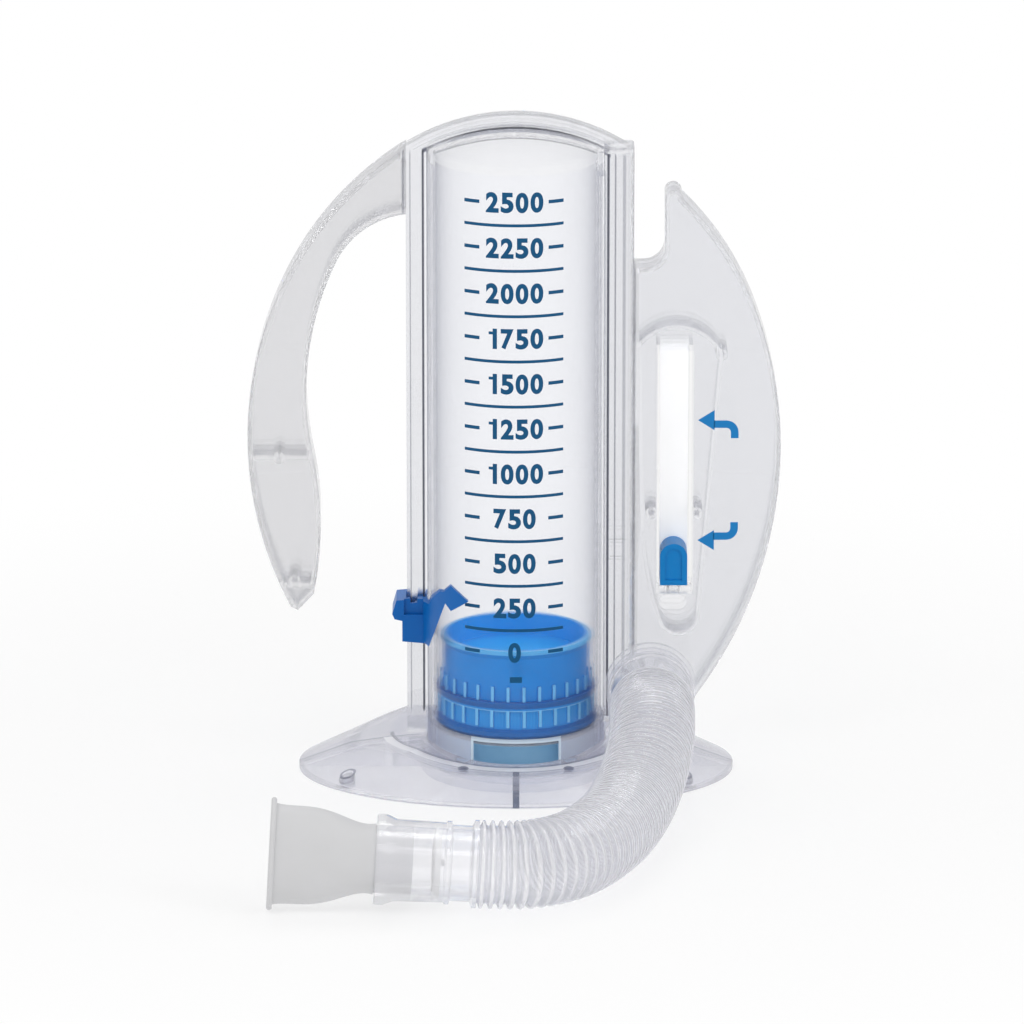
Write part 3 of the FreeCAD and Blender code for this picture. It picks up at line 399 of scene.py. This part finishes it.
# Just outside the crease, at the front, a band of painted highlight.
ridge_highlight = ridge.inside(1.0, 1.07) * (deep < 0.0)
top_face = paint.blend(ridge < 1.0, srgb(224, 224, 232), srgb(214, 215, 228))
shallow = clear_look(paint, top_face, srgb(140, 142, 158), 0.16, 0.55, 0.34)
dark_mark_and_shade_look = clear_look(paint, srgb(116, 120, 140), srgb(80, 84, 102), 0.16, 0.88, 0.40)
painted_highlight_look = clear_look(paint, srgb(252, 252, 254), srgb(236, 236, 242), 0.10, 0.80, 0.80)
base = paint.mix(ridge_highlight, paint.mix(rib_marks_and_crease_shade, shallow, dark_mark_and_shade_look), painted_highlight_look)
base = paint.mix(distance_to(SNAP_PLACE) < 1.8, base, dark_mark_and_shade_look)
dress(lit_through(paint, base, (0.96, 0.96, 0.965, 1)), "base_foot")
paint = new_paint("clear_floor")
dress(lit_through(paint, clear_look(paint, srgb(250, 250, 253), srgb(206, 208, 218), 0.08, 0.30, 0.36),
                  (0.96, 0.96, 0.965, 1)), "barrel_floor", "hose_port")
paint = new_paint("cuff_frost")
dress(lit_through(paint, clear_look(paint, srgb(246, 246, 250), srgb(186, 188, 198), 0.06, 0.34, 0.30, gloss=0.6),
                  (0.95, 0.95, 0.955, 1)), "hose_cuff_port", "hose_cuff_mouth")

# %% [markdown]
# Solid coloured plastics: a cloudy change of tone that is barely seen, and a fine grain in the
# gloss. The piston has painted highlights on its ribs and rim and a painted glow on the inside of
# its cup, where the thin blue plastic lets light through, and painted shade in the groove between
# its two rings.

# %% Coloured plastics


def tinted(paint, colour, roughness):
    grain = paint.noise(1500.0, 2.0)
    return paint.finish(paint.plastic(
        Base_Color=colour, Roughness=paint.noise(90.0, 3.0) * 0.1 + roughness, IOR=1.33,
        Normal=paint.bump(grain, 0.00004, 0.3)))


def coloured_plastic(name, deep, light, roughness):
    paint = new_paint(name)
    return tinted(paint, paint.blend(paint.noise(90.0, 3.0), deep, light), roughness)


paint = new_paint("piston_blue")
height = paint.along("Z")
radius = paint.from_axis()
blue = paint.blend(paint.noise(90.0, 3.0), srgb(0, 122, 204), srgb(0, 138, 220))
# Light stripes round the lower ring: painted glints on its ribs.
rib_glint_stripes = paint.along("Y").maths("ARCTAN2", paint.along("Y"), paint.along("X")) * 150.0
rib_glint_stripes = rib_glint_stripes.maths("SINE", rib_glint_stripes) * 0.5 + 0.5
lower_ring = height.inside(0.0211, 0.0272)
blue = paint.blend(lower_ring * rib_glint_stripes * 0.6, blue, srgb(40, 168, 232))
upper_ribs = height.inside(0.0300, 0.0352) * (radius > 0.0255)
lower_ribs = lower_ring * (radius > 0.0263)
rim = (height > 0.0463) * (radius > 0.0240)
# The inside of the cup is painted lighter: painted light through the thin plastic.
blue = paint.blend((height > 0.0380) * (radius < 0.0236), blue, srgb(20, 160, 236))
# Ribs and rim are painted lighter: painted highlights.
blue = paint.blend(upper_ribs.either(lower_ribs) * 0.7, blue, srgb(130, 205, 242))
blue = paint.blend(rim * 0.6, blue, srgb(110, 196, 240))
# The groove between the two rings is painted darker: painted shade.
blue = paint.blend(height.inside(0.0278, 0.0300), blue, srgb(0, 94, 170))
dress(tinted(paint, blue, 0.25), "piston_skirt", "piston_cup")
dress(coloured_plastic("seal_blue", srgb(0, 92, 166), srgb(0, 106, 182), 0.4), "piston_seal")
dress(coloured_plastic("float_blue", srgb(0, 126, 200), srgb(0, 136, 212), 0.3), "flow_float")
dress(coloured_plastic("slider_blue", srgb(0, 92, 170), srgb(0, 104, 184), 0.32), "goal_slider")
# The white strip glows a little by emission: painted light that lifts it out of the shade of its channel behind the
# clear wing.
paint = new_paint("white_strip")
dress(paint.finish(paint.plastic(
    Base_Color=paint.blend(paint.noise(90.0, 3.0), srgb(254, 254, 254), srgb(255, 255, 255)), Roughness=0.5,
    Emission_Color=(1, 1, 1, 1), Emission_Strength=0.28)), "indicator_strip")
dress(coloured_plastic("filter_pad", srgb(100, 150, 188), srgb(138, 180, 208), 0.9), "inlet_filter")
dress(coloured_plastic("valve_white", srgb(225, 225, 225), srgb(235, 235, 235), 0.5), "valve_seat", "valve_flap")
dress(coloured_plastic("mouthpiece_frost", srgb(206, 206, 207), srgb(213, 213, 215), 0.45), "mouthpiece")

# %% [markdown]
# The hose is a thin corrugated tube. Its wall's section, crest by crest, is drawn straight up the
# Z axis and spun into a tube, and then each ring is carried on to the route, turned to face along
# it. The rings keep their round shape, and crowd together inside the bend as real ones do. The
# cord's diameter is given as the one in the grooves. Over its crests the hose is 28.9 mm.

# %% Corrugated hose
HOSE_R = 14.45
RIB_DEPTH = 1.9
RIB_PITCH = 3.0
HOSE_WALL = 0.7
RIB_SHAPE = ((0.0, 0.0), (0.18, 0.15), (0.34, 0.85), (0.5, 1.0), (0.66, 0.85), (0.82, 0.15))

ribs = round(hose_length * 1000 / RIB_PITCH)
pitch = hose_length * 1000 / ribs
outer_line = []
for rib in range(ribs):
    for share, rise in RIB_SHAPE:
        outer_line.append((HOSE_R - RIB_DEPTH * (1 - rise), (rib + share) * pitch, rise))
outer_line.append((HOSE_R - RIB_DEPTH, ribs * pitch, 0.0))
inner_line = [(radius - HOSE_WALL, height, 1.0) for radius, height, rise in reversed(outer_line)]


def spun(section, steps):
    """A closed section of (radius, height, rise) in millimetres, spun about the Z axis.

    The rise, 0 in a groove and 1 on a crest, stays with the points for the shader."""
    form = bmesh.new()
    crest = form.verts.layers.float.new("crest")
    corners = []
    for radius, height, rise in section:
        corner = form.verts.new(mm(radius, 0, height))
        corner[crest] = rise
        corners.append(corner)
    edges = [form.edges.new(pair) for pair in zip(corners, corners[1:] + corners[:1])]
    bmesh.ops.spin(form, geom=corners + edges, cent=(0, 0, 0), axis=(0, 0, 1),
                   angle=2 * math.pi, steps=steps, use_merge=True)
    bmesh.ops.remove_doubles(form, verts=form.verts, dist=1e-7)
    bmesh.ops.recalc_face_normals(form, faces=form.faces)
    return form


def carried(form, path):
    """Moves what stands on the Z axis on to a path, each level turned to face along it."""
    reach = 0.0
    stations = []
    side = Vector((1, 0, 0))
    for before, after in zip(path, path[1:]):
        ahead = (after - before).normalized()
        side = (side - ahead * side.dot(ahead)).normalized()
        stations.append((reach, before, ahead, side.copy()))
        reach += (after - before).length
    stations.append((reach, path[-1], ahead, side.copy()))
    index = 0
    for vertex in sorted(form.verts, key=lambda vertex: vertex.co.z):
        while index < len(stations) - 2 and stations[index + 1][0] < vertex.co.z:
            index += 1
        near, far = stations[index], stations[index + 1]
        share = (vertex.co.z - near[0]) / (far[0] - near[0])
        ahead = near[2].lerp(far[2], share).normalized()
        side = near[3].lerp(far[3], share)
        side = (side - ahead * side.dot(ahead)).normalized()
        up = ahead.cross(side)
        vertex.co = near[1].lerp(far[1], share) + side * vertex.co.x + up * vertex.co.y


def new_piece(name, form, material, body, smooth=True):
    mesh = bpy.data.meshes.new(name)
    form.to_mesh(mesh)
    form.free()
    mesh.materials.append(material)
    if smooth:
        mesh.shade_smooth()
    piece = bpy.data.objects.new(name, mesh)
    scene.collection.objects.link(piece)
    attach(piece, body)
    print(name, "faces:", len(mesh.polygons))
    return piece


hose_form = spun(outer_line + inner_line, 40)
carried(hose_form, hose_path)

paint = new_paint("hose_frost")
crests = paint.node("ShaderNodeAttribute", {"attribute_name": "crest"}, output="Fac")
on_crest = paint.node("ShaderNodeMapRange", {"interpolation_type": "SMOOTHSTEP"}, {
    "Value": crests, "From Min": 0.55, "From Max": 0.95})
# Crests are painted near white, a painted highlight, and flanks grey, painted shade: the bright and dark lines that
# the corrugations make.
crest_highlight_look = clear_look(paint, srgb(250, 250, 252), srgb(226, 227, 233), 0.05, 0.34, 0.66, gloss=0.5, blur=0.2)
flank_shade_look = clear_look(paint, srgb(196, 198, 210), srgb(124, 127, 143), 0.08, 0.30, 0.20)
hose_frost = lit_through(paint, paint.mix(on_crest, flank_shade_look, crest_highlight_look), (0.94, 0.94, 0.95, 1))
hose = new_piece("corrugated_hose", hose_form, hose_frost, "housing")
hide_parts("hose_tube")

# %% [markdown]
# The volume scale is printed straight on the barrel. Numbers come from a text curve and lines
# from small grids, all drawn flat. Then the flat print is cut into narrow upright strips, so that
# it can bend, and each point is pressed back on to the cylinder.

# %% Printed scale
PRINT_R = 30.24
SCALE_ZERO = 48.7
SCALE_STEP = 15.54
NUMBER_HEIGHT = 7.0
DIGIT_WIDTH = 4.3
DIGIT_PITCH = 4.95
INK = coloured_plastic("scale_ink", srgb(0, 74, 116), srgb(4, 84, 128), 0.45)
ARROW_INK = coloured_plastic("arrow_ink", srgb(14, 116, 182), srgb(22, 126, 192), 0.45)


def add_digit(form, digit, middle_x, middle_z):
    """A condensed bold digit, drawn flat in X and Z. A 1 is a bar with a flag."""
    if digit == "1":
        add_bar(form, middle_x + 0.1, middle_x + 1.55, middle_z - NUMBER_HEIGHT / 2, middle_z + NUMBER_HEIGHT / 2)
        add_bar(form, middle_x - 1.25, middle_x + 0.1, middle_z + 1.45, middle_z + 2.45)
        return
    letters = bpy.data.curves.new("digit", "FONT")
    letters.body = digit
    letters.offset = 0.042
    letters.resolution_u = 6
    drawn = bpy.data.objects.new("digit", letters)
    mesh = bpy.data.meshes.new_from_object(drawn)
    bpy.data.objects.remove(drawn)
    low_x, high_x = (pick(vertex.co.x for vertex in mesh.vertices) for pick in (min, max))
    low_y, high_y = (pick(vertex.co.y for vertex in mesh.vertices) for pick in (min, max))
    for vertex in mesh.vertices:
        across = (vertex.co.x - low_x) / (high_x - low_x) - 0.5
        up = (vertex.co.y - low_y) / (high_y - low_y) - 0.5
        vertex.co = mm(middle_x + across * DIGIT_WIDTH, -PRINT_R, middle_z + up * NUMBER_HEIGHT)
    form.from_mesh(mesh)
    bpy.data.meshes.remove(mesh)


def add_bar(form, left, right, low, high):
    """A flat printed bar."""
    corners = [form.verts.new(mm(x, -PRINT_R, z))
               for x, z in ((left, low), (right, low), (right, high), (left, high))]
    form.faces.new(corners)


print_form = bmesh.new()
for step in range(11):
    middle = SCALE_ZERO + SCALE_STEP * step
    number = str(250 * step)
    for index, digit in enumerate(number):
        add_digit(print_form, digit, (index - (len(number) - 1) / 2) * DIGIT_PITCH - 0.5, middle)
    add_bar(print_form, -17.2, -12.2, middle - 0.6, middle + 0.6)
    add_bar(print_form, 10.8, 15.8, middle - 0.6, middle + 0.6)
    if step > 0:
        between = middle - SCALE_STEP / 2
        add_bar(print_form, -17.2, 15.8, between - 0.52, between + 0.52)
add_bar(print_form, -2.1, 2.0, 38.2, 40.2)
for strip in range(-17, 17):
    bmesh.ops.bisect_plane(
        print_form, geom=print_form.verts[:] + print_form.edges[:] + print_form.faces[:],
        plane_co=mm(strip, 0, 0), plane_no=(1, 0, 0), dist=1e-7)
for vertex in print_form.verts:
    vertex.co.y = -math.sqrt((PRINT_R / 1000) ** 2 - vertex.co.x ** 2)
bmesh.ops.recalc_face_normals(print_form, faces=print_form.faces)
scale_print = new_piece("scale_print", print_form, INK, "housing", smooth=False)

# %% Printed arrows
ARROW_Y = -9.04


def add_arrow(form, up):
    """A hooked arrow: its tail starts upright, turns a quarter and ends in a head that points left."""
    middle = 103.25
    reach = 20.95
    tail = [form.verts.new(mm(x, ARROW_Y, middle + up * (reach - 6.3))) for x in (72.4, 75.0)]
    edge = form.edges.new(tail)
    risen = bmesh.ops.extrude_edge_only(form, edges=[edge])["geom"]
    bmesh.ops.translate(form, vec=mm(0, 0, up * 2.1), verts=[g for g in risen if isinstance(g, bmesh.types.BMVert)])
    last = [g for g in risen if isinstance(g, (bmesh.types.BMVert, bmesh.types.BMEdge))]
    last = [g for g in last if isinstance(g, bmesh.types.BMVert)] + [
        g for g in last if isinstance(g, bmesh.types.BMEdge) and all(v in last for v in g.verts)]
    turned = bmesh.ops.spin(form, geom=last, cent=mm(70.9, ARROW_Y, middle + up * (reach - 4.2)),
                            axis=(0, 1, 0), angle=-up * math.pi / 2, steps=8)["geom_last"]
    carried_on = bmesh.ops.extrude_edge_only(
        form, edges=[g for g in turned if isinstance(g, bmesh.types.BMEdge)])["geom"]
    bmesh.ops.translate(form, vec=mm(-4.2, 0, 0),
                        verts=[g for g in carried_on if isinstance(g, bmesh.types.BMVert)])
    head = [form.verts.new(mm(x, ARROW_Y, middle + up * reach + z)) for x, z in (
        (66.9, 3.5), (61.3, 0), (66.9, -3.5))]
    form.faces.new(head)


arrow_form = bmesh.new()
add_arrow(arrow_form, 1)
add_arrow(arrow_form, -1)
bmesh.ops.recalc_face_normals(arrow_form, faces=arrow_form.faces)
arrows = new_piece("flow_arrows", arrow_form, ARROW_INK, "housing", smooth=False)
